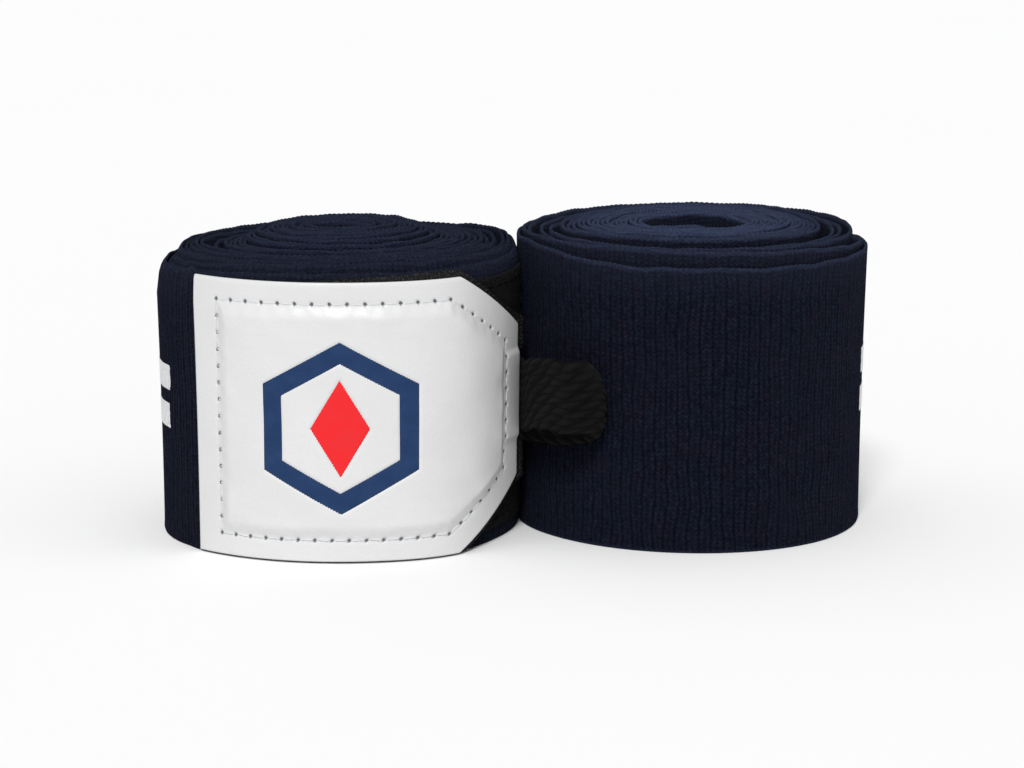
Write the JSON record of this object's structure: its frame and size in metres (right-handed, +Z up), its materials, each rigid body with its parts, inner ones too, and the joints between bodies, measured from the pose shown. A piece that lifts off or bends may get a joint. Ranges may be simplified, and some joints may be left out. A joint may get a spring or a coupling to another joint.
{
  "type": "hand wrap",
  "caption": "Pair of boxing hand wraps: ribbed elastic bands rolled up, each closed by a padded hook-and-loop tab that opens and carries a webbing thumb loop.",
  "frame": {"origin": "centre of the pair's footprint, on the surface that the rolls stand on", "axes": "+Z up along both roll axes; +X from wrap a to wrap b; -Y is the side that wrap a's tab faces"},
  "size_m": [0.1268, 0.0732, 0.0554],
  "materials": {
    "band_knit": "ribbed elastic cotton knit, matte, slightly fuzzy",
    "navy_thread": "matte sewing thread",
    "white_print": "flexible print, satin",
    "loop_tape": "brushed soft loop pile",
    "black_thread": "matte sewing thread",
    "hook_tape": "woven tape with moulded hooks",
    "foam": "thin open-cell foam",
    "white_leather": "coated synthetic leather, satin",
    "white_thread": "bonded sewing thread",
    "navy_ink": "pressed-in film, satin",
    "red_ink": "pressed-in film, satin",
    "webbing": "coarse braided webbing, matte"
  },
  "bodies": {
    "wrap_a": {"wrap_a_band": "band_knit", "wrap_a_end_hem_stitching": "navy_thread", "wrap_a_band_print": "white_print", "wrap_a_loop_panel": "loop_tape", "wrap_a_loop_panel_stitching": "black_thread"},
    "tab_a": {"wrap_a_band_tuck": "band_knit", "wrap_a_hook_tape": "hook_tape", "wrap_a_patch_foam": "foam", "wrap_a_patch_cover": "white_leather", "wrap_a_patch_stitching": "white_thread", "wrap_a_emblem_ring": "navy_ink", "wrap_a_emblem_rhombus": "red_ink", "wrap_a_thumb_loop_tails": "webbing"},
    "thumb_loop_a": {"wrap_a_thumb_loop": "webbing"},
    "wrap_b": {"wrap_b_band": "band_knit", "wrap_b_end_hem_stitching": "navy_thread", "wrap_b_band_print": "white_print", "wrap_b_loop_panel": "loop_tape", "wrap_b_loop_panel_stitching": "black_thread"},
    "tab_b": {"wrap_b_band_tuck": "band_knit", "wrap_b_hook_tape": "hook_tape", "wrap_b_patch_foam": "foam", "wrap_b_patch_cover": "white_leather", "wrap_b_patch_stitching": "white_thread", "wrap_b_emblem_ring": "navy_ink", "wrap_b_emblem_rhombus": "red_ink", "wrap_b_thumb_loop_tails": "webbing"},
    "thumb_loop_b": {"wrap_b_thumb_loop": "webbing"}
  },
  "joints": [
    {"name": "tab_open_a", "type": "hinge", "parent": "wrap_a", "child": "tab_a", "pos_m": [-0.05523, -0.0244, 0.0246], "axis": [0, 0, -1], "range_deg": [0, 100]},
    {"name": "thumb_loop_swing_a", "type": "hinge", "parent": "tab_a", "child": "thumb_loop_a", "pos_m": [0.00098, -0.01274, 0.02575], "axis": [0, 0, -1], "range_deg": [0, 25]},
    {"name": "wrap_apart", "type": "slide", "parent": "wrap_a", "child": "wrap_b", "axis": [1, 0, 0], "range_m": [0, 0.08]},
    {"name": "tab_open_b", "type": "hinge", "parent": "wrap_b", "child": "tab_b", "pos_m": [0.05523, 0.0244, 0.0246], "axis": [0, 0, -1], "range_deg": [0, 100]},
    {"name": "thumb_loop_swing_b", "type": "hinge", "parent": "tab_b", "child": "thumb_loop_b", "pos_m": [-0.00098, 0.01274, 0.02575], "axis": [0, 0, -1], "range_deg": [0, 25]}
  ]
}
